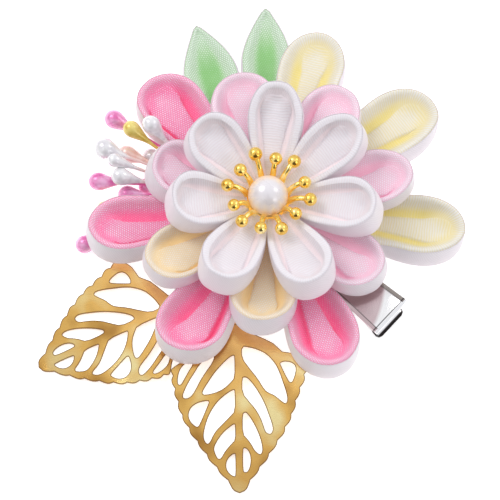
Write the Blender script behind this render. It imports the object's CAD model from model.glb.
import math
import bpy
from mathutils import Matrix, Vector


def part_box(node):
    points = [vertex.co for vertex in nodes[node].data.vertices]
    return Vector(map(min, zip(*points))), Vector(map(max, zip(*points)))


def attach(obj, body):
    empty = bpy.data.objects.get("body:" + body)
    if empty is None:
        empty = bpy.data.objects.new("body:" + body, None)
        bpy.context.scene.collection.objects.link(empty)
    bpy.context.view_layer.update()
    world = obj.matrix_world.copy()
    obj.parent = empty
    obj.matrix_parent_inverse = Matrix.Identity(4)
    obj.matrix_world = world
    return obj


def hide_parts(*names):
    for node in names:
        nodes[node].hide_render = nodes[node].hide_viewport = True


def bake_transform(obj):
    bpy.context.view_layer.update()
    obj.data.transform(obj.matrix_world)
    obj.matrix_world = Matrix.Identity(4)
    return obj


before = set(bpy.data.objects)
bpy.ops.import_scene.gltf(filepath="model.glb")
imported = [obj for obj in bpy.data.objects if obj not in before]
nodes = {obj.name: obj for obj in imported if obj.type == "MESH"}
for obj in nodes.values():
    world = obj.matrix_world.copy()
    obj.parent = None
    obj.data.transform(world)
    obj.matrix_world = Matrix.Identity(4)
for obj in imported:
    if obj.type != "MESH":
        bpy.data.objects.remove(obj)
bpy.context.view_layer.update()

from types import SimpleNamespace

import bmesh
import bpy
from mathutils import Matrix, Vector

# The flower lies on its back on the table, with its middle at FLOWER, seen from in front and well above.
# Its lengths are in millimetres, and each finished mesh is scaled to metres.
MM = 0.001
FLOWER = Vector((3.955, 9.4, 0))
HAIRPIN = "hairpin"
JAW = "lower_jaw"
scene = bpy.context.scene
scene.view_settings.view_transform = "Standard"


# Camera: the middle of the picture from the flower's middle, the picture's width and the distance in metres
PICTURE_MIDDLE = Vector((-4.48, -12.31, 10))
PICTURE_WIDTH = 0.1245
CAMERA_AWAY = 2.5
CAMERA_ELEVATION = math.radians(70)
SENSOR_WIDTH = 36


def make_camera():
    target = (FLOWER + PICTURE_MIDDLE) * MM
    back = Vector((0, -math.cos(CAMERA_ELEVATION), math.sin(CAMERA_ELEVATION)))
    data = bpy.data.cameras.new("camera")
    data.sensor_width = SENSOR_WIDTH
    data.lens = SENSOR_WIDTH * CAMERA_AWAY / PICTURE_WIDTH
    data.clip_end = 80
    camera = bpy.data.objects.new("camera", data)
    camera.location = target + back * CAMERA_AWAY
    camera.rotation_euler = (-back).to_track_quat("-Z", "Y").to_euler()
    scene.collection.objects.link(camera)
    scene.camera = camera


# Lights, studio and floor
def soft_light(name, place, size, power, colour=(1, 1, 1)):
    data = bpy.data.lights.new(name, "AREA")
    data.shape = "DISK"
    data.size = size
    data.energy = power
    data.color = colour
    lamp = bpy.data.objects.new(name, data)
    lamp.location = place
    lamp.rotation_euler = (-Vector(place)).to_track_quat("-Z", "Y").to_euler()
    scene.collection.objects.link(lamp)


# Rows: direction of a darker patch of the studio, the angles where it is full and where it ends, its colour
STUDIO_SPOTS = [
    ((0.03, -0.93, 0.37), 32, 35, (0.03, 0.02, 0.015)),
    ((0.0, -0.38, 0.92), 5, 13, (0.05, 0.04, 0.05)),
    ((-0.9, 0.1, 0.3), 10, 22, (0.35, 0.3, 0.28)),
]
SKY_LOW = (0.82, 0.81, 0.82)
SKY_HIGH = (0.95, 0.96, 1)
SKY_STRENGTH = 0.91


def make_studio():
    soft_light("window_left", (-0.55, 0.35, 0.75), 0.5, 2.6)
    soft_light("window_right", (0.6, 0.25, 0.6), 0.35, 0.8, (1, 0.99, 0.97))
    soft_light("front_fill", (0.65, -0.62, 0.5), 0.4, 0.8, (0.97, 0.98, 1))
    world = bpy.data.worlds.new("studio")
    world.use_nodes = True
    tree = world.node_tree
    sky = tree.nodes["Background"]
    n = Nodes(tree)
    where = n.add("ShaderNodeTexCoord").outputs["Generated"]
    body = n.blend(n.spread(n.axes(where)["Z"], 0.1, 0.6), SKY_LOW, SKY_HIGH)
    for spot, inner, outer, colour in STUDIO_SPOTS:
        near = n.vectors("DOT_PRODUCT", where, Vector(spot).normalized())
        cover = n.spread(near, math.cos(math.radians(outer)), math.cos(math.radians(inner)))
        body = n.blend(cover, body, colour)
    n.put(sky.inputs["Color"], body)
    sky.inputs["Strength"].default_value = SKY_STRENGTH
    scene.world = world


def make_floor():
    bm = bmesh.new()
    bmesh.ops.create_circle(bm, cap_ends=True, segments=64, radius=15)
    floor = finished(bm, "floor")
    material, n = new_material("pale_floor", Base_Color=(0.9, 0.9, 0.9), Roughness=0.8)
    n.feed(Emission_Color=(1, 1, 1), Emission_Strength=0.6)
    floor.data.materials.append(material)


# Meshes
def finished(bm, name, scale=1.0, sharp=None):
    """The mesh as a new object at the origin: flat, or smooth with edges sharp past an angle in degrees."""
    if scale != 1.0:
        bmesh.ops.scale(bm, vec=(scale,) * 3, verts=bm.verts)
    for face in bm.faces:
        face.smooth = sharp is not None
    if sharp is not None:
        for edge in bm.edges:
            edge.smooth = edge.calc_face_angle(0) < math.radians(sharp)
    mesh = bpy.data.meshes.new(name)
    bm.to_mesh(mesh)
    bm.free()
    thing = bpy.data.objects.new(name, mesh)
    scene.collection.objects.link(thing)
    return thing


def mix(a, b, k):
    return a + (b - a) * k


def ease(low, high, value):
    """A smooth step from 0 at the first value to 1 at the second, which may also be the lower one."""
    k = min(1, max(0, (value - low) / (high - low)))
    return k * k * (3 - 2 * k)


def sin_deg(angle):
    return math.sin(math.radians(angle))


def turned(angle):
    return Matrix.Rotation(math.radians(angle), 4, "Z")


# Materials. The Mix node's colour sockets are reached by number, because their names repeat.
MIX_FIRST = 6
MIX_SECOND = 7
MIX_RESULT = 2


class Nodes:
    """Short ways to add nodes to a material or a group."""

    def __init__(self, tree, shader=None):
        self.tree = tree
        self.shader = shader

    def add(self, kind, **settings):
        node = self.tree.nodes.new(kind)
        for key, value in settings.items():
            setattr(node, key, value)
        return node

    def put(self, socket, value):
        if isinstance(value, bpy.types.NodeSocket):
            self.tree.links.new(value, socket)
        elif isinstance(value, tuple) and len(value) == 3 and len(socket.default_value) == 4:
            socket.default_value = (*value, 1)
        else:
            socket.default_value = value

    def math(self, operation, a, b=0.0, c=0.0):
        node = self.add("ShaderNodeMath", operation=operation)
        for socket, value in zip(node.inputs, (a, b, c)):
            self.put(socket, value)
        return node.outputs[0]

    def blend(self, factor, a, b, kind="MIX"):
        node = self.add("ShaderNodeMix", data_type="RGBA", blend_type=kind)
        self.put(node.inputs["Factor"], factor)
        self.put(node.inputs[MIX_FIRST], a)
        self.put(node.inputs[MIX_SECOND], b)
        return node.outputs[MIX_RESULT]

    def noise(self, vector, scale, detail=3.0, rough=0.5):
        node = self.add("ShaderNodeTexNoise")
        self.put(node.inputs["Vector"], vector)
        self.put(node.inputs["Scale"], scale)
        self.put(node.inputs["Detail"], detail)
        self.put(node.inputs["Roughness"], rough)
        return node.outputs["Fac"]

    def spread(self, value, low, high, to_low=0.0, to_high=1.0):
        node = self.add("ShaderNodeMapRange")
        keys = ("Value", "From Min", "From Max", "To Min", "To Max")
        for key, number in zip(keys, (value, low, high, to_low, to_high)):
            self.put(node.inputs[key], number)
        return node.outputs["Result"]

    def feed(self, **values):
        """Puts numbers, colours or other nodes' outputs into the shader."""
        for key, value in values.items():
            self.put(self.shader.inputs[key.replace("_", " ")], value)

    def bump(self, height, strength, distance):
        node = self.add("ShaderNodeBump")
        node.inputs["Strength"].default_value = strength
        node.inputs["Distance"].default_value = distance
        self.put(node.inputs["Height"], height)
        self.feed(Normal=node.outputs["Normal"])

    def vectors(self, operation, a, b, result="Value"):
        node = self.add("ShaderNodeVectorMath", operation=operation)
        self.put(node.inputs[0], a)
        self.put(node.inputs[1], b)
        return node.outputs[result]

    def here(self):
        return self.add("ShaderNodeTexCoord").outputs["Object"]

    def axes(self, vector):
        node = self.add("ShaderNodeSeparateXYZ")
        self.put(node.inputs["Vector"], vector)
        return node.outputs

    def place(self, vector, scale=(1, 1, 1), turn=0):
        """A place stretched and turned about Z, by degrees."""
        node = self.add("ShaderNodeMapping")
        self.put(node.inputs["Vector"], vector)
        node.inputs["Scale"].default_value = scale
        node.inputs["Rotation"].default_value.z = math.radians(turn)
        return node.outputs["Vector"]


def new_material(name, **values):
    """A material with the given values on its shader, and the builder of its nodes."""
    material = bpy.data.materials.new(name)
    material.use_nodes = True
    tree = material.node_tree
    n = Nodes(tree, tree.nodes["Principled BSDF"])
    n.feed(**values)
    return material, n


def cloth_group(name, outputs):
    """An empty node group for a cloth pattern: a place on the cloth and a pitch in, numbers out."""
    tree = bpy.data.node_groups.new(name, "ShaderNodeTree")
    for key, kind in (("Vector", "NodeSocketVector"), ("Pitch", "NodeSocketFloat")):
        tree.interface.new_socket(name=key, in_out="INPUT", socket_type=kind)
    for key in outputs:
        tree.interface.new_socket(name=key, in_out="OUTPUT", socket_type="NodeSocketFloat")
    n = Nodes(tree)
    return tree, n, n.add("NodeGroupInput"), n.add("NodeGroupOutput")


def make_weave():
    """Ribbon weave: rows of small raised threads, some of which catch the light."""
    tree, n, start, end = cloth_group("ribbon_weave", ["Height", "Thread", "Sparkle"])
    axes = n.axes(start.outputs["Vector"])
    x = n.math("DIVIDE", axes["X"], start.outputs["Pitch"])
    y = n.math("DIVIDE", axes["Y"], start.outputs["Pitch"])
    row = n.math("FLOOR", y)
    shifted = n.math("MULTIPLY_ADD", row, 0.5, x)
    across = n.math("SINE", n.math("MULTIPLY", shifted, 2 * math.pi))
    along = n.math("SINE", n.math("MULTIPLY", n.math("FRACT", y), math.pi))
    height = n.math("MULTIPLY", n.math("MULTIPLY_ADD", across, 0.5, 0.5), along)
    cell = n.add("ShaderNodeCombineXYZ")
    n.put(cell.inputs["X"], n.math("FLOOR", shifted))
    n.put(cell.inputs["Y"], row)
    chance = n.add("ShaderNodeTexWhiteNoise", noise_dimensions="2D")
    n.put(chance.inputs["Vector"], cell.outputs[0])
    n.put(end.inputs["Height"], height)
    n.put(end.inputs["Thread"], n.spread(height, 0.15, 0.75))
    lit = n.spread(chance.outputs["Value"], 0.0, 0.9, 0.25, 1.0)
    n.put(end.inputs["Sparkle"], n.math("MULTIPLY", n.spread(height, 0.4, 0.85), lit))
    return tree


def make_ribs():
    """Fine ribs of plain ribbon, which wander a little."""
    tree, n, start, end = cloth_group("ribbon_ribs", ["Height"])
    wander = n.noise(start.outputs["Vector"], 2.2, 2.0)
    across = n.math("MULTIPLY_ADD", wander, 0.12, n.axes(start.outputs["Vector"])["X"])
    x = n.math("DIVIDE", across, start.outputs["Pitch"])
    wave = n.math("SINE", n.math("MULTIPLY", x, 2 * math.pi))
    n.put(end.inputs["Height"], n.math("MULTIPLY_ADD", wave, 0.5, 0.5))
    return tree


weave = make_weave()
ribs = make_ribs()


def depth_of(n):
    """How deep in the folds a spot lies, from the attribute that the meshes carry."""
    node = n.add("ShaderNodeAttribute", attribute_name="depth", attribute_type="GEOMETRY")
    return node.outputs["Fac"]


# Ribbon's UVs are in centimetres, and so is the pitch of its threads and ribs
CM = 10
WEAVE_PITCH = 0.055
COARSE_RIB = 0.065
FINE_RIB = 0.05
WEAVE_TURN = 38
FINE_RIB_TURN = -32
NO_GLOW = (0, 0, 0)


def laid_cloth(n, pattern, pitch, turn):
    """A cloth pattern laid on the piece's own UVs: its outputs, and the UVs."""
    uv = n.add("ShaderNodeUVMap").outputs["UV"]
    cloth = n.add("ShaderNodeGroup", node_tree=pattern)
    n.put(cloth.inputs["Vector"], n.place(uv, turn=turn))
    n.put(cloth.inputs["Pitch"], pitch)
    return cloth.outputs, uv


def inner_ribbon(colour, rim, wall, deep, bright, sparkle, ribbed=False, glow=0.12):
    """Coloured ribbon inside a petal: paler at the rim, deeper in the creases, where light gathers."""
    name = colour + "_ribbon"
    material, n = new_material(name, Roughness=0.62, Sheen_Weight=0.25, Sheen_Roughness=0.4)
    cloth, uv = laid_cloth(n, *((ribs, COARSE_RIB, 0) if ribbed else (weave, WEAVE_PITCH, WEAVE_TURN)))
    depth = depth_of(n)
    pale = n.blend(n.spread(depth, 0.0, 0.45), rim, wall)
    body = n.blend(n.spread(depth, 0.45, 1.0), pale, deep)
    patch = n.noise(uv, 1.6, 3.0)
    body = n.blend(n.spread(patch, 0.3, 0.7, 0.0, 0.22), body, wall)
    thread = cloth["Height" if ribbed else "Thread"]
    gaps = n.math("MULTIPLY", n.math("SUBTRACT", 1.0, thread), 0.3 if ribbed else 0.5)
    body = n.blend(gaps, body, deep)
    fade = n.spread(depth, 0.35, 1.0, sparkle, sparkle * 0.22)
    lit = cloth["Height" if ribbed else "Sparkle"]
    body = n.blend(n.math("MULTIPLY", lit, fade), body, bright)
    gathered = n.blend(n.spread(depth, 0.25, 0.9), NO_GLOW, n.blend(0.5, wall, deep))
    n.feed(Base_Color=body, Emission_Color=gathered, Emission_Strength=glow)
    n.bump(cloth["Height"], 0.35, 0.00012)
    return material


def outer_ribbon(name, colour, shade):
    """White ribbon round the outside, with fine slanting ribs."""
    material, n = new_material(name, Roughness=0.5, Sheen_Weight=0.2, Sheen_Roughness=0.4)
    cloth = laid_cloth(n, ribs, FINE_RIB, FINE_RIB_TURN)[0]
    body = n.blend(n.math("MULTIPLY", cloth["Height"], 0.3), colour, shade)
    depth = depth_of(n)
    body = n.blend(n.spread(depth, 0.0, 1.0, 0.0, 0.8), body, shade)
    gathered = n.blend(n.spread(depth, 0.02, 0.3), NO_GLOW, (0.42, 0.31, 0.32))
    n.feed(Base_Color=body, Emission_Color=gathered, Emission_Strength=0.2)
    n.bump(cloth["Height"], 0.3, 0.00008)
    return material


WHITE_EDGE = outer_ribbon("white_ribbon_outside", (0.8, 0.76, 0.79), (0.66, 0.6, 0.64))
# Rows: colour, then its rim, wall, creases and glints, strength of the glints, ribbed or not, glow of creases
INNER_ROWS = [
    ("white", (0.86, 0.83, 0.87), (0.77, 0.72, 0.76), (0.84, 0.7, 0.72), (0.9, 0.88, 0.91), 0.4, True),
    ("light_pink", (0.91, 0.83, 0.9), (0.92, 0.68, 0.79), (0.9, 0.44, 0.58), (1, 0.95, 1), 0.65),
    ("cream", (0.9, 0.85, 0.8), (0.89, 0.76, 0.55), (0.93, 0.66, 0.28), (1, 0.98, 0.92), 0.55),
    ("hot_pink", (0.94, 0.65, 0.82), (0.92, 0.35, 0.58), (0.95, 0.09, 0.26), (1, 0.88, 0.97), 0.85),
    ("yellow", (0.82, 0.8, 0.77), (0.83, 0.75, 0.52), (0.86, 0.71, 0.18), (0.93, 0.91, 0.86), 0.35, True,
     0.04),
    ("green", (0.82, 0.87, 0.81), (0.55, 0.74, 0.49), (0.19, 0.48, 0.13), (0.95, 1, 0.95), 0.6),
]
INNER = {row[0]: inner_ribbon(*row) for row in INNER_ROWS}


# Petals of folded ribbon. A petal is a sheet laid round its horseshoe rim: its columns run from one
# side of the folded end round the tip to the other side, and its rows from underneath, up the outer
# wall, over the rim, down into the crease and onto the raised tongue.
# Shares of the length: where the petal is widest, and where the tongue's middle line ends
BELLY = 0.64
SPINE_END = 0.77
# Columns from the folded end to the tip, and the share of them that lies on the side
HALF_COLUMNS = 36
SIDE_SHARE = 0.46
# Height of the folded end, and how wide it stays, as a share, where no neighbour limits it
FOLD_HIGH = 2.3
FREE_END = 0.36
# How far a rim folded by hand wanders outward, and upward as a share of its height
WANDER_OUT = 0.18
WANDER_UP = 0.02
# Rows underneath and up the outer wall: share of the bulge, extra outward, share of the height, extra
WALL_ROWS = [
    (0, -1.3, 0, 0.35), (0, -0.6, 0, 0.05), (0.35, 0, 0, 0.12), (0.8, 0, 0.15, 0), (1, 0, 0.36, 0),
    (0.97, 0, 0.55, 0), (0.82, 0, 0.74, 0), (0.86, 0, 1, -0.8), (0.84, 0, 1, -0.35), (0.66, 0, 1, -0.14),
    (0.52, 0, 1, -0.36), (0.38, 0, 1, -0.22), (0.2, 0, 1, -0.05), (0, 0, 1, 0),
]
# The row of the wall that is the groove between the two ribbons
GROOVE_ROW = 10
# Rows inside: places down the inner wall, then across the tongue to the middle line
SLOPE_ROWS = [0.14, 0.29, 0.44, 0.59, 0.74, 0.88, 1.0]
TONGUE_ROWS = [0.0, 0.15, 0.32, 0.52, 0.75, 1.0]
# Rows on the hidden underside, over the lip, and up from the crease to the tongue
UNDER_ROWS = 5
LIP_ROWS = 2
RISER_ROWS = 1
RIM_ROW = UNDER_ROWS + len(WALL_ROWS) - 1
CREASE_ROW = RIM_ROW + LIP_ROWS + len(SLOPE_ROWS)
LAST_ROW = CREASE_ROW + RISER_ROWS + len(TONGUE_ROWS)


class Petal:
    """The shape of one petal in its own frame, in millimetres: +X from the folded end to the tip.

    End is the share of the width that is kept at the folded end, tongue the tongue's half width, pit
    the share of the height that is left in the crease, groove the depth of the line between the two
    ribbons, lip a factor on the lip's width and blunt the tip's roundness. Slant is told with LEANING.
    """

    def __init__(
        self, length, width, high, swell, end=0.3, pointed=False, lean=0.0, tongue=3.0, pit=0.22,
        groove=0.8, lip=1.0, slant=(0, 0, 0, 1), blunt=1.0, turn=0, seed=0,
    ):
        self.length, self.half, self.high = length, width / 2, high
        self.swell, self.end, self.pointed, self.lean = swell, end, pointed, lean
        self.tongue, self.pit, self.groove, self.lip = tongue, pit, groove, lip
        self.slant, self.blunt, self.turn, self.seed = slant, blunt, turn, seed

    def rim_high(self, u):
        return mix(FOLD_HIGH, self.high, sin_deg(90 * min(1, u / 0.85)) ** 1.4)

    def outline(self, q):
        """Shares along the length, of the half width and of the middle line, the way out, and the share
        of the way round the tip."""
        if q <= SIDE_SHARE:
            s = q / SIDE_SHARE
            return BELLY * s, 1 - (1 - self.end) * (1 - s) ** 1.7, BELLY * s, Vector((0, 1)), 0
        t = (q - SIDE_SHARE) / (1 - SIDE_SHARE)
        if self.pointed:
            u, y, spine = mix(BELLY, 1, t), 1 - t ** 1.6, mix(BELLY, 1, 0.8 * t)
            out = Vector((t * 0.9, 1)).normalized()
        else:
            u = mix(BELLY, 1, sin_deg(90 * t) ** self.blunt)
            y = max(0, math.cos(math.radians(90 * t))) ** self.blunt
            spine = mix(BELLY, SPINE_END, sin_deg(90 * t))
            out = Vector((sin_deg(90 * t) * self.half, y * (1 - BELLY) * self.length)).normalized()
        if t > 0.999:
            out = Vector((1, 0))
        return u, y, spine, out, t

    def wander(self, q, side):
        """The uneven run of a rim folded by hand, about -1 to 1, and none at the folded end and the tip."""
        if not side:
            return 0
        wave = math.sin(q * 9 + self.seed * 2.1 + side) * 0.5
        wave += math.sin(q * 5 - self.seed * 1.3 + side * 2) * 0.5
        return wave * (ease(0, 0.3, q) * ease(1.0, 0.85, q))

    def slant_at(self, u, out):
        """How far the rim lies inside the foot."""
        everywhere, at_tip, in_front, share = self.slant
        toward_front = -out.x * sin_deg(self.turn) - out.y * sin_deg(90 - self.turn) * share
        at_tip *= ease(0.62, 1, u) * (1 + min(0, toward_front))
        return (everywhere + at_tip + in_front * max(0, toward_front)) * ease(0.1, 0.5, u)

    def column(self, q, side):
        """What the rows of a column need, for a share q of the way from the folded end to the tip."""
        u, y, spine, out, t = self.outline(q)
        out.y *= side
        wave = self.wander(q, side)
        slant = self.slant_at(u, out)
        rim = Vector((u * self.length, side * y * self.half)) + out * (wave * WANDER_OUT - slant)
        high = self.rim_high(u) * (1 + wave * WANDER_UP)
        mid = Vector((spine * self.length, self.lean * sin_deg(180 * min(1, spine) ** 0.8)))
        reach = max(0.05, (rim - mid).length)
        spine_high = self.rim_high(spine)
        if self.pointed:
            dip = mix(spine_high * 0.9, 0.9, ease(0, 0.35, spine))
            ridge, front = mix(dip, self.high * 0.8, ease(0.66, 0.98, u)), 1
            foot = 0.5
        else:
            ridge, front = spine_high * mix(0.96, 0.56, ease(0, 0.4, spine)), ease(-0.1, 0.55, t)
            foot = mix(2.3, 2.7, t) / reach
        half_tongue = mix(0.8, self.tongue * 1.2, min(1, u / 0.75))
        edge = mix(max(1 - half_tongue / max(0.1, reach), 0.34), foot, ease(0.0, 0.8, t))
        edge_z = ridge - 0.4 * ease(0, 0.25, u)
        floor = min(edge_z - 0.12, max(0.6, high * mix(0.6, self.pit, ease(0, 0.4, u))))
        crease = edge - min(0.45 / reach, 0.1) * (1 - front)
        lip = (min(0.45 * self.lip / reach, 0.12), min(0.95 * self.lip / reach, 0.22))
        return SimpleNamespace(
            rim=rim, mid=mid, out=out, high=high, ridge=ridge, edge=edge, edge_z=edge_z, floor=floor, lip=lip,
            front=front, slant=slant, reach=reach, u=u, small=high / self.high, crease=crease,
        )

    def inside(self, c, k, z, depth):
        """A spot a share k of the way from the rim to the middle line."""
        spot = c.rim.lerp(c.mid, k)
        return Vector((spot.x, spot.y, z)), depth

    def front_place(self, c, k):
        """Height and depth on the smooth slope from the lip to the middle line, which a petal's tip has."""
        share = (k - c.lip[1]) / (1 - c.lip[1])
        top = c.high - 0.34 * c.small
        z = c.ridge + (top - c.ridge) * (1 - share) ** (1.8 if self.pointed else 2.3)
        if self.pointed:
            start = mix(0.72, 0.3, ease(0.1, 0.5, c.u))
            return z, 0.08 + 0.9 * ease(start, min(1, start + 0.4), k) * ease(1.0, 0.68, c.u)
        return z, 0.08 + 0.1 * ease(0.1, 0.3, k) + 0.42 * ease(0.1, 0.36, k) * ease(0.85, 0.45, k)

    def slope(self, c, w):
        """A place on the wall inside the rim, from the lip (0) to the crease (1)."""
        k = mix(c.lip[1], c.crease, w)
        front_z, front_deep = self.front_place(c, k)
        top = c.high - 0.34 * c.small
        z = c.floor + (top - c.floor) * (1 - w) ** 2.2
        return k, mix(z, front_z, c.front), mix(0.08 + 0.9 * ease(0.15, 0.7, w), front_deep, c.front)

    def tongue_place(self, c, w):
        """A place across the tongue, from its edge (0) to the middle line (1)."""
        k = mix(c.edge, 1, w)
        front_z, front_deep = self.front_place(c, k)
        z = c.ridge - (c.ridge - c.edge_z) * (1 - w) ** 2
        deep = 0.16 + 0.3 * (1 - c.u)
        return k, mix(z, front_z, c.front), mix(deep, front_deep, c.front)

    def underside(self, c, row):
        """The hidden layer of ribbon under the tongue, the crease and the inner wall."""
        edge_k, edge_z = self.tongue_place(c, 0)[:2]
        crease_k, crease_z = self.slope(c, 1)[:2]
        middle_k, middle_z = self.slope(c, 0.5)[:2]
        k, z = [
            (1, c.ridge - 0.55), (edge_k, edge_z - 0.6), (crease_k, max(0.12, crease_z - 0.5)),
            (middle_k, max(0.12, middle_z - 0.7)), (c.lip[1] * 0.9, c.high * 0.5),
        ][row]
        return self.inside(c, k, max(0.1, z), 0.6)

    def wall(self, c, row):
        """The outer wall, with the groove and the folded edge of the white ribbon at its top."""
        share, extra, high_share, high_extra = WALL_ROWS[row]
        size = min(1, c.reach / 3)
        off = share * self.swell * mix(0.35, 1, sin_deg(90 * min(1, c.u / 0.6))) + extra * size
        z = max(0.02, high_share * c.high + high_extra * (c.small if high_share else 1))
        low = 1 - z / c.high
        spot = c.rim + c.out * (off + c.slant * low)
        depth = self.groove if row == GROOVE_ROW else 0.35 * low
        return Vector((spot.x, spot.y, z)), depth if row <= GROOVE_ROW else 0.0

    def point(self, c, row):
        """The place of a row in a column, and how deep in the folds it lies."""
        if row < UNDER_ROWS:
            return self.underside(c, row)
        row -= UNDER_ROWS
        if row < len(WALL_ROWS):
            return self.wall(c, row)
        row -= len(WALL_ROWS)
        if row < LIP_ROWS:
            high = c.high - (0.08, 0.34)[row] * c.small
            return self.inside(c, c.lip[row], high, (0.0, 0.04)[row])
        row -= LIP_ROWS
        if row < len(SLOPE_ROWS):
            return self.inside(c, *self.slope(c, SLOPE_ROWS[row]))
        row -= len(SLOPE_ROWS)
        if row < RISER_ROWS:
            k, z, deep = self.tongue_place(c, 0)
            drop = 0.16 * (1 - c.front)
            return self.inside(c, k - min(0.06 / c.reach, 0.02), z - drop, mix(0.5, deep, c.front))
        row -= RISER_ROWS
        k, z, deep = self.tongue_place(c, TONGUE_ROWS[row])
        return self.inside(c, k + (min(0.04 / c.reach, 0.02) if row == 0 else 0), z, deep)

    def mesh(self):
        """A grid of columns and rows, each point moved to its place, then merged and closed."""
        bm = bmesh.new()
        layer = bm.verts.layers.float.new("depth")
        uv = bm.loops.layers.uv.new("UVMap")
        bmesh.ops.create_grid(bm, x_segments=2 * HALF_COLUMNS, y_segments=LAST_ROW, size=0.5)
        place = {}
        columns = {}
        for vert in bm.verts:
            col = round((vert.co.x + 0.5) * 2 * HALF_COLUMNS) - HALF_COLUMNS
            place[vert] = (col, round((vert.co.y + 0.5) * LAST_ROW))
            side = (col > 0) - (col < 0)
            if col not in columns:
                columns[col] = self.column(1 - abs(col) / HALF_COLUMNS, side)
        spots = {}
        for vert, (col, row) in place.items():
            vert.co, vert[layer] = self.point(columns[col], row)
            spots[(col, row)] = vert.co.copy()
        around = {-HALF_COLUMNS: 0.0}
        for col in range(-HALF_COLUMNS + 1, HALF_COLUMNS + 1):
            around[col] = around[col - 1] + (spots[(col, RIM_ROW)] - spots[(col - 1, RIM_ROW)]).length
        down = {}
        for col in columns:
            down[(col, 0)] = 0.0
            for row in range(1, LAST_ROW + 1):
                down[(col, row)] = down[(col, row - 1)] + (spots[(col, row)] - spots[(col, row - 1)]).length
        for face in bm.faces:
            rows = [place[vert][1] for vert in face.verts]
            on_tongue = min(rows) > CREASE_ROW
            face.material_index = 1 if max(rows) <= UNDER_ROWS + GROOVE_ROW else 0
            for loop in face.loops:
                col, row = place[loop.vert]
                if on_tongue:
                    loop[uv].uv = loop.vert.co.xy / CM
                else:
                    loop[uv].uv = (around[col] / CM, (down[(col, row)] - down[(col, RIM_ROW)]) / CM)
        bmesh.ops.remove_doubles(bm, verts=bm.verts, dist=0.001)
        rim = [edge for edge in bm.edges if edge.is_boundary]
        bmesh.ops.holes_fill(bm, edges=rim, sides=0)
        bmesh.ops.recalc_face_normals(bm, faces=bm.faces)
        return bm


# How far a petal's walls swell past its rim, here and in the solids, whose tilt the petals keep
SWELL = 0.55
SOLID_SWELL = 1.2


def ring_petal(turn, start, low, reach, tip_low, width, high, room=None, **shape):
    """A petal's mesh where it lies in the flower, in millimetres. Room is the angle to its neighbours."""
    if room is None:
        end = FREE_END
    else:
        end = (start * math.tan(math.radians(room)) - 0.1 - SWELL * 0.35) / (width / 2 - SWELL)
    petal = Petal(reach - start - SWELL, width - 2 * SWELL, high, SWELL, end=end, turn=turn, **shape)
    bm = petal.mesh()
    tilt = math.atan2(low - tip_low, reach - start - SOLID_SWELL)
    bmesh.ops.transform(bm, verts=bm.verts, matrix=(
        Matrix.Translation(FLOWER)
        @ turned(turn)
        @ Matrix.Translation((start, 0, low))
        @ Matrix.Rotation(tilt, 4, "Y")
    ))
    return bm


def ribbon_piece(bm, node, colour):
    """A sheet of ribbon, coloured inside and white outside, in place of its solid."""
    thing = finished(bm, node + "_ribbon", MM, 50)
    thing.data.materials.append(INNER[colour])
    thing.data.materials.append(WHITE_EDGE)
    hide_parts(node)
    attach(thing, HAIRPIN)


# Rows: direction, reach, width, lean of the tongue, its half width, angle to the neighbours
WHITE = [
    (-9.8, 29.6, 14.55, 0.3, 3.3, 24),
    (37.6, 30.3, 13.95, -0.3, 3.2, 23.6),
    (84.6, 29.6, 14.25, 0.1, 3.3, 24),
    (135.2, 26.8, 15, -0.2, 3.6, 25.6),
    (187, 26.4, 15, 0.4, 3.4, 26.2),
    (241, 29.0, 15, 0.3, 3.5, 27),
    (295.5, 29.8, 15, -0.3, 3.4, 27.2),
]
# Rows: node, direction, reach, width, lean of the tongue, its half width
MIDDLE = [
    ("light_pink_petal_1", 11.7, 37.5, 15.6, -1.0, 3.0),
    ("light_pink_petal_2", 55, 35.6, 16.1, 0.3, 3.2),
    ("light_pink_petal_3", 103, 34.6, 17.2, -0.2, 3.2),
    ("light_pink_petal_4", 160.5, 32.4, 17.6, 0.8, 3.2),
    ("cream_petal_1", 212.5, 35.8, 15.9, 0.9, 3.4),
    ("cream_petal_2", 267, 35.1, 17.2, 0.2, 2.9),
    ("light_pink_petal_5", 322.5, 35.6, 16.2, -0.4, 2.8),
]
# Rows: node, direction, reach, width, place of the tip above the table, height of the rim, lean of the
# tongue, its half width
OUTER = [
    ("yellow_petal_1", 34, 50, 18.2, 1.6, 6.2, 0.4, 2.4),
    ("yellow_petal_2", 73, 48.4, 16.9, 4.1, 4.8, 0, 2.2),
    ("hot_pink_petal_1", 133.2, 44.6, 17.4, 4.9, 6.2, 0.9, 3.6),
    ("hot_pink_petal_2", 189, 46.2, 18, 4.6, 4.84, 1.2, 2.6),
    ("hot_pink_petal_3", 239, 46.1, 18.7, 3.4, 6.2, 1.5, 3.1),
    ("hot_pink_petal_4", 292, 47.2, 18.2, 2.9, 6.2, 0, 2.8),
    ("yellow_petal_3", 352, 49.7, 17.65, 0.4, 6.2, 0.3, 2.6),
]
# How far a rim lies inside its foot: all round, more at the tip, more in front, the sides' share of that
WHITE_LEANING = (0.1, 1.3, 0.5, 0.3)
MIDDLE_LEANING = (0.1, 0.5, 1.3, 0.6)
OUTER_LEANING = (0.2, 0.2, 1.9, 0.9)
LEANING = {
    "light_pink_petal_4": (1.2, 1.1, 1.0, 1),
    "cream_petal_2": (0.1, 0.8, 1.9, 0.5),
    "hot_pink_petal_2": (0.9, 0.1, 1.7, 1),
}


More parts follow.
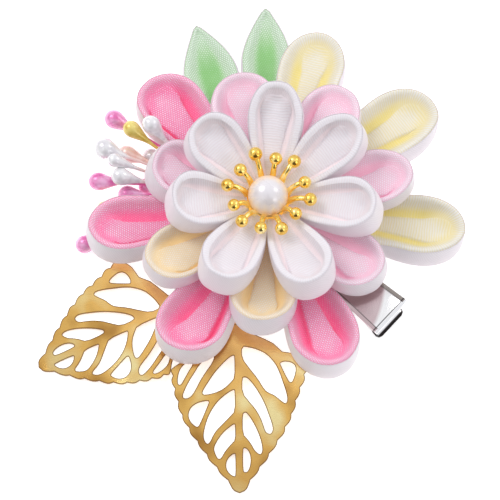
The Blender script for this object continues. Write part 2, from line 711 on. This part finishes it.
def make_petals():
    for i, (turn, reach, width, lean, tongue, room) in enumerate(WHITE):
        bm = ring_petal(
            turn, start=5.5, low=12.2, reach=reach, tip_low=14.6, width=width, high=7, room=room, lean=lean,
            tongue=tongue, pit=0.46, groove=0.2, lip=2.1, slant=WHITE_LEANING, blunt=0.84, seed=i + 1,
        )
        ribbon_piece(bm, f"white_petal_{i + 1}", "white")
    for i, (node, turn, reach, width, lean, tongue) in enumerate(MIDDLE):
        bm = ring_petal(
            turn, start=9.3, low=9, reach=reach, tip_low=9, width=width, high=5, room=21, lean=lean,
            tongue=tongue, slant=LEANING.get(node, MIDDLE_LEANING), blunt=0.92, seed=i + 11,
        )
        ribbon_piece(bm, node, node.rsplit("_petal", 1)[0])
    for i, (node, turn, reach, width, tip_low, high, lean, tongue) in enumerate(OUTER):
        bm = ring_petal(
            turn, start=17.8, low=5.6, reach=reach, tip_low=tip_low, width=width, high=high, lean=lean,
            tongue=tongue, slant=LEANING.get(node, OUTER_LEANING), blunt=0.95, seed=i + 21,
            pit=0.4 if "yellow" in node else 0.2,
        )
        ribbon_piece(bm, node, node.rsplit("_petal", 1)[0])


# Rows: node of a green leaf, direction of its root, extra turn, reach as a share, width
GREEN_LEAVES = [
    ("green_leaf_1", 118, -12, 0.997, 14.2),
    ("green_leaf_2", 91, -0.7, 1.022, 12.9),
]
GREEN_REACH = 54.2
GREEN_START = Vector((16.6, 0, 3.7))
GREEN_TIP_HIGH = 0.1
GREEN_RIM_HIGH = 3.1


def make_green_leaves():
    for node, turn, aside, reach, width in GREEN_LEAVES:
        length = GREEN_REACH * reach - GREEN_START.x - SOLID_SWELL
        petal = Petal(
            length, width - 2 * SOLID_SWELL, GREEN_RIM_HIGH, SOLID_SWELL, pointed=True, tongue=2.5, seed=turn,
        )
        bm = petal.mesh()
        bmesh.ops.transform(bm, verts=bm.verts, matrix=(
            Matrix.Translation(FLOWER)
            @ turned(turn)
            @ Matrix.Translation(GREEN_START)
            @ turned(aside)
            @ Matrix.Rotation(math.atan2(GREEN_START.z - GREEN_TIP_HIGH, length), 4, "Y")
        ))
        ribbon_piece(bm, node, "green")


def hard_piece(bm, node, ending, material, turn=40, body=HAIRPIN):
    """A rigid piece of one material, in place of its solid."""
    thing = finished(bm, f"{node}_{ending}", MM, turn)
    thing.data.materials.append(material)
    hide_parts(node)
    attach(thing, body)


# Round strands
def strand(bm, path, radii, sides):
    """A ring carried along a path in an empty bmesh, with a radius at each point, closed at both ends."""
    heading = (path[1] - path[0]).normalized()
    turn = Vector((0, 0, 1)).rotation_difference(heading)
    pose = Matrix.LocRotScale(path[0], turn, (radii[0],) * 3)
    bmesh.ops.create_circle(bm, segments=sides, radius=1, matrix=pose)
    edges = bm.edges[:]
    ends = [edges]
    for i in range(1, len(path)):
        ahead = path[min(i + 1, len(path) - 1)] - path[i - 1]
        turn = heading.rotation_difference(ahead.normalized()) @ turn
        heading = ahead.normalized()
        new_pose = Matrix.LocRotScale(path[i], turn, (radii[i],) * 3)
        made = bmesh.ops.extrude_edge_only(bm, edges=edges)["geom"]
        verts = [part for part in made if isinstance(part, bmesh.types.BMVert)]
        bmesh.ops.transform(bm, matrix=new_pose @ pose.inverted(), verts=verts)
        edges = [part for part in made if isinstance(part, bmesh.types.BMEdge)]
        edges = [edge for edge in edges if set(verts).issuperset(edge.verts)]
        pose = new_pose
    ends.append(edges)
    for end in ends:
        bmesh.ops.holes_fill(bm, edges=end, sides=0)
    bmesh.ops.recalc_face_normals(bm, faces=bm.faces)


def bow(a, c, b, k):
    """A place on the arch from a to b that is drawn towards c."""
    return a * (1 - k) ** 2 + c * 2 * k * (1 - k) + b * k * k


def polar(turn, reach, high):
    """A place in the flower, from its direction, its distance from the middle and its height."""
    angle = math.radians(turn)
    return Vector((reach * math.cos(angle), reach * math.sin(angle), high)) + FLOWER


def lacquer(name, base, light, stem):
    """Pearl lacquer on a pip's head, and its waxed thread stem."""
    material, n = new_material(name, Coat_Weight=0.6, Coat_Roughness=0.12)
    where = n.here()
    behind = depth_of(n)
    swirl = n.noise(where, 420, 3.0)
    streak = n.noise(n.place(where, scale=(1, 1, 0.25)), 1600, 2.0)
    body = n.blend(n.spread(swirl, 0.35, 0.65), base, light)
    body = n.blend(n.spread(streak, 0.55, 0.8, 0, 0.4), body, light)
    metal = n.spread(behind, 0, 1, 0.16, 0)
    rough = n.spread(behind, 0, 1, 0.24, 0.5)
    n.feed(Base_Color=n.blend(behind, body, stem), Metallic=metal, Roughness=rough)
    n.bump(streak, 0.2, 0.00005)
    return material


# Rows: direction of a pip, distance, height, size, its root's direction and row, its elbow's distance, finish
PIPS = [
    (148.7, 44.9, 7.6, 1.05, 148.5, 2, 29, "magenta"),
    (150.1, 39.3, 10.8, 0.92, 153.2, 0, 29, "gold"),
    (146.2, 35, 14.2, 1, 151, 1, 26, "pearl"),
    (160, 43.2, 9.6, 1.16, 158.5, 1, 29, "pearl"),
    (163.8, 39.9, 11.2, 0.76, 162, 1, 30, "pearl"),
    (157.2, 38.2, 5.6, 0.98, 157.5, 2, 29, "peach"),
    (153.4, 32.6, 4.2, 0.94, 155, 3, 27, "pearl"),
    (168.3, 37.6, 9, 1, 167, 1, 30, "pearl"),
    (169.9, 43, 5.6, 1.02, 165, 2, 29, "magenta"),
    (172.6, 35.4, 4.4, 0.98, 172.6, 2, 29, "magenta"),
    (167, 30.8, 3.6, 0.98, 169.5, 3, 26, "magenta"),
    (178.2, 40.6, 2.4, 0.94, 177, 5, 29, "gold"),
    (190, 46.4, 2.6, 1, 182, 4, 29, "magenta"),
]
# A pip's head and the tapered part behind it, its thread's radius, and how the threads leave the felt
PIP_D = 4.55
PIP_TAPER = 7
NECK = 0.42
THREAD = 0.32
ROOT_REACH = 17.7
ROOT_HIGH = 8.1
ROOT_STEP = 0.75
TAPER_STEPS = 12
CAP_ANGLES = (18, 36, 54, 68, 80, 88)
CAP_LONGER = 1.08


def pip_path(root, elbow, head, size):
    """The middle line of a pip from root to tip, the radius at each point, and the taper's length."""
    round_r = PIP_D * size / 2
    long = min(PIP_TAPER, (head - elbow).length - 1)
    aim = (head - elbow).normalized()
    near = elbow + (root - elbow).normalized() * min(3, (root - elbow).length / 2)
    far = elbow + aim * min(2, (head - elbow).length - long)
    spots = [(root, THREAD)] + [(bow(near, elbow, far, k / 5), THREAD) for k in range(6)]
    for k in range(TAPER_STEPS + 1):
        share = 1 - k / TAPER_STEPS
        radius = mix(round_r, NECK, 0.5 - 0.5 * math.cos(math.pi * share ** 0.8))
        spots.append((head - aim * long * share, radius))
    for angle in CAP_ANGLES:
        radius = round_r * math.cos(math.radians(angle))
        spots.append((head + aim * round_r * sin_deg(angle) * CAP_LONGER, radius))
    kept = spots[:1]
    for spot, radius in spots[1:]:
        if (spot - kept[-1][0]).length > 0.02:
            kept.append((spot, radius))
    return [spot for spot, radius in kept], [radius for spot, radius in kept], long


def make_pips():
    finish = {
        "magenta": lacquer("magenta_lacquer", (0.8, 0.15, 0.44), (0.96, 0.5, 0.76), (0.9, 0.14, 0.42)),
        "gold": lacquer("gold_lacquer", (0.72, 0.5, 0.05), (0.92, 0.76, 0.24), (0.84, 0.46, 0.08)),
        "pearl": lacquer("white_lacquer", (0.72, 0.69, 0.73), (0.92, 0.91, 0.92), (0.92, 0.64, 0.6)),
        "peach": lacquer("peach_lacquer", (0.86, 0.52, 0.44), (0.94, 0.76, 0.7), (0.88, 0.5, 0.44)),
    }
    for i, (turn, reach, high, size, root_turn, row, bend, colour) in enumerate(PIPS):
        root = polar(root_turn, ROOT_REACH, ROOT_HIGH - row * ROOT_STEP)
        elbow = polar((turn + root_turn) / 2, bend, root.z)
        head = polar(turn, reach, high)
        path, radii, long = pip_path(root, elbow, head, size)
        bm = bmesh.new()
        layer = bm.verts.layers.float.new("depth")
        strand(bm, path, radii, 20)
        aim = (head - elbow).normalized()
        for vert in bm.verts:
            behind = (head - vert.co).dot(aim)
            vert[layer] = ease(long * 0.62, long * 1.15, behind)
        hard_piece(bm, f"pip_{i + 1:02d}", "lacquered", finish[colour], 60)


# Gold, pearl and stamens
# Colour of the gold leaves' thin rims and cut sides
WORN_EDGE = (0.16, 0.07, 0.02)


def gold_finish(name, dark, middle, light, scale, waves, rough, warm=None, glow=0.0):
    """Plated gold: slow waves of light and dark, with fine brushing. Leaves are warmer near the flower."""
    material, n = new_material(name, Metallic=1.0, Roughness=rough)
    where = n.here()
    slow = n.noise(where, scale, 2.0)
    fine = n.noise(n.place(where, scale=(1, 6, 1), turn=35), 900, 3.0)
    body = n.blend(n.spread(slow, 0.32, 0.5), dark, middle)
    body = n.blend(n.spread(slow, 0.52, 0.68), body, light)
    body = n.blend(n.spread(fine, 0.5, 0.75, 0, 0.18), body, dark)
    away = n.vectors("DISTANCE", where, FLOWER * MM)
    if warm:
        body = n.blend(n.spread(away, 0.030, 0.052, 0.75, 0.0), body, warm)
        body = n.blend(n.spread(away, 0.044, 0.070, 0.0, 0.45), body, dark)
    body = n.blend(n.math("MULTIPLY", depth_of(n), 0.85), body, WORN_EDGE)
    # The ring and the roots of its arms glow more, for the light that gathers there
    glow_here = n.spread(away, 0.0135, 0.019, glow * 3, glow)
    n.feed(Base_Color=body, Emission_Color=body, Emission_Strength=glow_here)
    n.feed(Roughness=n.spread(fine, 0.3, 0.7, rough * 0.7, rough * 1.5))
    height = n.math("MULTIPLY_ADD", slow, waves, n.math("MULTIPLY", fine, 0.03))
    n.bump(height, 1.0, 0.0012)
    return material


def pearl_finish(bottom, top):
    """Pearl lustre between two heights in metres: warm and peach below and at the rim, cool on top."""
    material, n = new_material("pearl_layers", Metallic=0.12, Coat_Weight=0.4, Coat_Roughness=0.18)
    where = n.here()
    height = n.spread(n.axes(where)["Z"], bottom, top)
    body = n.blend(n.spread(height, 0.35, 0.75), (0.93, 0.74, 0.58), (0.84, 0.76, 0.73))
    body = n.blend(n.spread(height, 0.72, 1.0), body, (0.78, 0.75, 0.78))
    clouds = n.noise(where, 260, 3.0)
    body = n.blend(n.spread(clouds, 0.4, 0.7, 0, 0.35), body, (0.84, 0.82, 0.83))
    facing = n.add("ShaderNodeLayerWeight")
    facing.inputs["Blend"].default_value = 0.5
    body = n.blend(n.spread(facing.outputs["Facing"], 0.3, 0.7), body, (0.94, 0.72, 0.54))
    n.feed(Base_Color=body, Emission_Color=body, Emission_Strength=0.08)
    n.feed(Roughness=n.spread(clouds, 0.3, 0.7, 0.22, 0.34))
    n.bump(clouds, 0.1, 0.0001)
    return material


def make_pearl():
    low, high = (Vector(corner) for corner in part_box("pearl"))
    radius = (high.z - low.z) / 2 / MM
    middle = Matrix.Translation((low + high) / 2 / MM)
    bm = bmesh.new()
    bmesh.ops.create_uvsphere(bm, u_segments=64, v_segments=32, radius=radius, matrix=middle)
    hard_piece(bm, "pearl", "bead", pearl_finish(low.z, high.z), 60)


# Rows: direction of a stamen, distance and radius of its ball
STAMENS = [
    (107.3, 10.5, 1.78),
    (77.5, 9.0, 1.66),
    (51, 10.4, 1.7),
    (15.4, 9.5, 1.62),
    (-10.8, 10.7, 1.68),
    (-40, 9.0, 1.6),
    (-71, 10.3, 1.68),
    (-100.8, 9.7, 1.6),
    (-130, 10.1, 1.62),
    (-157.5, 9.2, 1.58),
    (170, 10.2, 1.66),
    (139.8, 9.0, 1.66),
]
# The stamped ring's outer and inner radius, its top and thickness
RING_OUT = 5.5
RING_IN = 4.35
RING_TOP = 11.5
RING_T = 0.6
# An arm's start in the ring, the place it bends towards, the height of its ball and its radius at both ends
ARM_START = Vector((4.95, 0, 11.3))
ARM_BEND = Vector((5.45, 0, 18.9))
BALL_HIGH = 18.5
ARM_THICK = 0.86
ARM_THIN = 0.68
ARM_STEPS = 14


def stamen(turn, reach, size):
    """One tapered arm with its ball, as a mesh."""
    bm = bmesh.new()
    ball = Vector((reach, 0, BALL_HIGH))
    path = [bow(ARM_START, ARM_BEND, ball, k / ARM_STEPS) for k in range(ARM_STEPS)]
    radii = [mix(ARM_THICK, ARM_THIN, ease(0.1, 0.8, k / (ARM_STEPS - 1))) for k in range(ARM_STEPS)]
    strand(bm, path, radii, 14)
    bmesh.ops.create_uvsphere(bm, u_segments=28, v_segments=16, radius=size, matrix=Matrix.Translation(ball))
    around = Matrix.Rotation(math.radians(turn), 3, "Z")
    bmesh.ops.rotate(bm, cent=(0, 0, 0), matrix=around, verts=bm.verts)
    mesh = bpy.data.meshes.new("stamen")
    bm.to_mesh(mesh)
    bm.free()
    return mesh


def make_stamens():
    """A stamped ring with twelve arms, each with a ball at its end."""
    material = gold_finish(
        "stamen_gold", (0.8, 0.46, 0.07), (0.94, 0.66, 0.16), (1.0, 0.86, 0.4), 300, 0.14, 0.06, glow=0.1,
    )
    bm = bmesh.new()
    bmesh.ops.create_circle(bm, segments=64, radius=RING_OUT, matrix=Matrix.Translation((0, 0, RING_TOP)))
    made = bmesh.ops.extrude_edge_only(bm, edges=bm.edges[:])["geom"]
    inner = [part for part in made if isinstance(part, bmesh.types.BMVert)]
    bmesh.ops.scale(bm, vec=(RING_IN / RING_OUT, RING_IN / RING_OUT, 1), verts=inner)
    bmesh.ops.solidify(bm, geom=bm.faces[:], thickness=-RING_T)
    bmesh.ops.recalc_face_normals(bm, faces=bm.faces)
    for row in STAMENS:
        mesh = stamen(*row)
        bm.from_mesh(mesh)
        bpy.data.meshes.remove(mesh)
    bmesh.ops.translate(bm, vec=FLOWER, verts=bm.verts)
    hard_piece(bm, "stamen_ring", "gold", material)


# Hard parts
def solid_copy(node):
    """A copy of a solid in millimetres, with the triangles of each flat face merged."""
    bm = bmesh.new()
    bm.from_mesh(nodes[node].data)
    bmesh.ops.scale(bm, vec=(1 / MM,) * 3, verts=bm.verts)
    bmesh.ops.remove_doubles(bm, verts=bm.verts, dist=0.001)
    bmesh.ops.dissolve_limit(bm, angle_limit=math.radians(0.5), verts=bm.verts, edges=bm.edges)
    return bm


def round_edges(bm, size, past, segments=2):
    """Bevels the edges that are sharper than an angle in degrees."""
    sharp = [edge for edge in bm.edges if edge.is_manifold and edge.calc_face_angle(0) > math.radians(past)]
    bmesh.ops.bevel(
        bm, geom=sharp, offset=size, offset_type="OFFSET", segments=segments, profile=0.5,
        affect="EDGES", clamp_overlap=True, material=-1,
    )


def mark_edges(bm, width):
    """Insets the level faces and marks the thin rim and the cut sides, for the darker worn edges."""
    layer = bm.faces.layers.float.new("depth")
    for side in (1, -1):
        level = [face for face in bm.faces if face.normal.z * side > 0.95]
        made = bmesh.ops.inset_region(
            bm, faces=level, thickness=width, use_even_offset=False, use_boundary=True,
        )
        for face in made["faces"]:
            face[layer] = 1
    for face in bm.faces:
        if abs(face.normal.z) < 0.9:
            face[layer] = 0.8


# Rows: node of a pierced leaf, place of its base from the flower's middle, its turn and height
GOLD_LEAVES = [
    ("gold_leaf_left", (-21.7, -23.1), 205.4, 1.1),
    ("gold_leaf_bottom", (-7.5, -29.3), 270.6, 2.3),
]
LEAF_L = 44.5
LEAF_HALF_W = 16.7
LEAF_TIP_HIGH = 0.1
LEAF_RIM_W = 0.2
# How far the leaf's sides curl up, how high its veins stand, and how close they are
LEAF_CURL = 0.8
VEIN_HIGH = 0.1
VEIN_PACE = 32


def make_gold_leaves():
    """The pierced leaves, cut into a grid of small faces and then bent up at the sides."""
    material = gold_finish(
        "leaf_gold", (0.44, 0.22, 0.05), (0.88, 0.54, 0.15), (1.0, 0.86, 0.42), 85, 0.3, 0.17,
        warm=(0.96, 0.54, 0.2),
    )
    cuts = [(Vector((1, 0, 0)), step) for step in range(2, 45, 2)]
    cuts += [(Vector((0, 1, 0)), step) for step in range(-16, 17, 2)]
    for node, base, turn, high in GOLD_LEAVES:
        bm = solid_copy(node)
        mark_edges(bm, LEAF_RIM_W)
        bmesh.ops.triangulate(bm, faces=bm.faces)
        pose = (
            Matrix.Translation(FLOWER + Vector((*base, high)))
            @ turned(turn)
            @ Matrix.Rotation(math.atan2(high - LEAF_TIP_HIGH, LEAF_L), 4, "Y")
        )
        for axis, step in cuts:
            bmesh.ops.bisect_plane(
                bm, geom=bm.verts[:] + bm.edges[:] + bm.faces[:], dist=0.0005,
                plane_co=pose @ (axis * step), plane_no=pose.to_3x3() @ axis,
            )
        back = pose.inverted()
        for vert in bm.verts:
            spot = back @ vert.co
            along = spot.x / LEAF_L
            if along > 0:
                across = min(1.2, abs(spot.y) / LEAF_HALF_W)
                vein = VEIN_HIGH * math.sin(along * VEIN_PACE) * across
                vert.co.z += ease(0, 0.35, along) * (LEAF_CURL * across ** 1.6 + vein)
        hard_piece(bm, node, "plated", material, 18)


# The clip's tail from the flower's middle and its turn, and the joint's pin from the tail
CLIP_TAIL = Vector((30.9, -28.9, 0))
CLIP_TURN = 138.5
CLIP_POSE = Matrix.Translation(FLOWER + CLIP_TAIL) @ turned(CLIP_TURN)
PIN = Vector((17, 0, 3.4))
BRUSH_TURN = 41
SCUFF = (0.42, 0.36, 0.36)


def steel_finish(name, dark=(0.54, 0.53, 0.54), light=(0.7, 0.69, 0.7)):
    """Polished steel. Gives also its nodes and base colour, for a finish that adds to them."""
    material, n = new_material(name, Metallic=1.0)
    where = n.here()
    slow = n.noise(where, 90, 1.0)
    scuff = n.noise(n.place(where, scale=(8, 1, 1), turn=BRUSH_TURN), 700, 4.0)
    body = n.blend(n.spread(slow, 0.35, 0.65), dark, light)
    body = n.blend(n.spread(scuff, 0.55, 0.8, 0, 0.3), body, SCUFF)
    n.feed(Base_Color=body, Roughness=n.spread(scuff, 0.3, 0.7, 0.1, 0.26))
    n.bump(n.math("MULTIPLY_ADD", scuff, 0.05, slow), 0.5, 0.0005)
    return material, n, body


def on_clip(n):
    """Distance from the clip's tail and across it, in millimetres."""
    spot = n.vectors("SUBTRACT", n.here(), CLIP_POSE.translation * MM, "Vector")
    return [n.vectors("DOT_PRODUCT", spot, CLIP_POSE.col[axis].xyz / MM) for axis in (0, 1)]


def plate_finish():
    """The plate: pinkish grey recess, bright sickle at the tail, grey frame and dark fine lines."""
    material, n, body = steel_finish("plate_steel", (0.58, 0.41, 0.43), (0.7, 0.56, 0.57))
    x, y = on_clip(n)
    # The sickle's inner edge slants across the clip and bends
    bend = n.math("MULTIPLY", n.math("MULTIPLY", y, y), 0.03)
    past = n.math("SUBTRACT", x, n.math("ADD", n.math("MULTIPLY_ADD", y, -0.5, 4.0), bend))
    body = n.blend(n.spread(past, -0.7, 0.3, 1.0, 0.0), body, (0.98, 0.97, 0.96))
    # The frame follows the tapered sides, with a dark line inside it
    side = n.math("MULTIPLY_ADD", x, 0.0588, n.math("ABSOLUTE", y))
    frame_tone = n.blend(n.spread(y, -1, 1), (0.34, 0.3, 0.27), (0.6, 0.46, 0.47))
    body = n.blend(n.spread(side, 4.62, 4.78), body, (0.16, 0.13, 0.13))
    body = n.blend(n.spread(side, 4.84, 5.0), body, frame_tone)
    # A dark line and a bright edge cross the tail
    line = n.math("MULTIPLY", n.spread(x, 0.95, 1.1), n.spread(x, 1.4, 1.25))
    body = n.blend(line, body, (0.05, 0.045, 0.045))
    body = n.blend(n.spread(x, 0.75, 0.65), body, (0.95, 0.94, 0.94))
    n.feed(Base_Color=body)
    return material


def lever_finish():
    """The lever: bright at the tail, with a dark rounded end and dark sides there."""
    material, n, body = steel_finish("lever_steel")
    x, y = on_clip(n)
    body = n.blend(n.spread(x, 3.4, 2.8), body, (0.98, 0.97, 0.97))
    body = n.blend(n.spread(x, 0.85, 0.6), body, (0.025, 0.02, 0.02))
    side = n.math("MULTIPLY", n.spread(n.math("ABSOLUTE", y), 4.3, 4.5), n.spread(x, 3.0, 2.4))
    body = n.blend(side, body, (0.04, 0.035, 0.035))
    n.feed(Base_Color=body)
    return material


# The spring: half the coil's length, its radius, the wire's radius, turns, and points in a turn
COIL_HALF = 2.35
COIL_R = 1.5
WIRE_R = 0.33
COIL_TURNS = 5
TURN_STEPS = 20


def make_spring(material):
    """Wound wire round the pin, with a leg along the plate and a leg along the lever."""
    steps = COIL_TURNS * TURN_STEPS
    coil = []
    for k in range(steps + 1):
        angle = math.radians(90 + 360 * COIL_TURNS * k / steps)
        across = mix(COIL_HALF, -COIL_HALF, k / steps)
        coil.append(PIN + Vector((COIL_R * math.cos(angle), across, COIL_R * math.sin(angle))))
    upper = [Vector((8, COIL_HALF, 5.5)), Vector((12, COIL_HALF, 5.25))]
    bend = coil[-1] + Vector((-1.2, -0.05, -0.1))
    lower = [bend, Vector((12, -COIL_HALF, 3.6)), Vector((8, -COIL_HALF, 2.4))]
    path = [CLIP_POSE @ spot for spot in upper + coil + lower]
    bm = bmesh.new()
    strand(bm, path, [WIRE_R] * len(path), 10)
    spring = finished(bm, "clip_spring_wound", MM, 70)
    spring.data.materials.append(material)
    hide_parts("clip_spring")
    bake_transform(spring)


def make_clip():
    for node, body, finish in (("clip_top", HAIRPIN, plate_finish()), ("clip_bottom", JAW, lever_finish())):
        bm = solid_copy(node)
        round_edges(bm, 0.14, 35)
        hard_piece(bm, node, "polished", finish, body=body)
    steel = steel_finish("polished_steel")[0]
    bm = solid_copy("clip_pin")
    round_edges(bm, 0.12, 50)
    hard_piece(bm, "clip_pin", "riveted", steel)
    make_spring(steel)


def make_felt():
    material, n = new_material("white_felt", Roughness=0.92, Sheen_Weight=0.5, Sheen_Roughness=0.6)
    where = n.here()
    fibre = n.noise(where, 1500, 6.0, 0.7)
    patch = n.noise(where, 160, 2.0)
    body = n.blend(n.spread(fibre, 0.3, 0.7), (0.7, 0.66, 0.66), (0.88, 0.86, 0.86))
    body = n.blend(n.spread(patch, 0.4, 0.7, 0, 0.3), body, (0.8, 0.74, 0.74))
    n.feed(Base_Color=body)
    n.bump(fibre, 0.6, 0.0003)
    bm = solid_copy("base_felt")
    round_edges(bm, 0.35, 50, 3)
    hard_piece(bm, "base_felt", "soft", material, 60)


make_camera()
make_studio()
make_floor()
make_petals()
make_green_leaves()
make_pips()
make_pearl()
make_stamens()
make_gold_leaves()
make_clip()
make_felt()
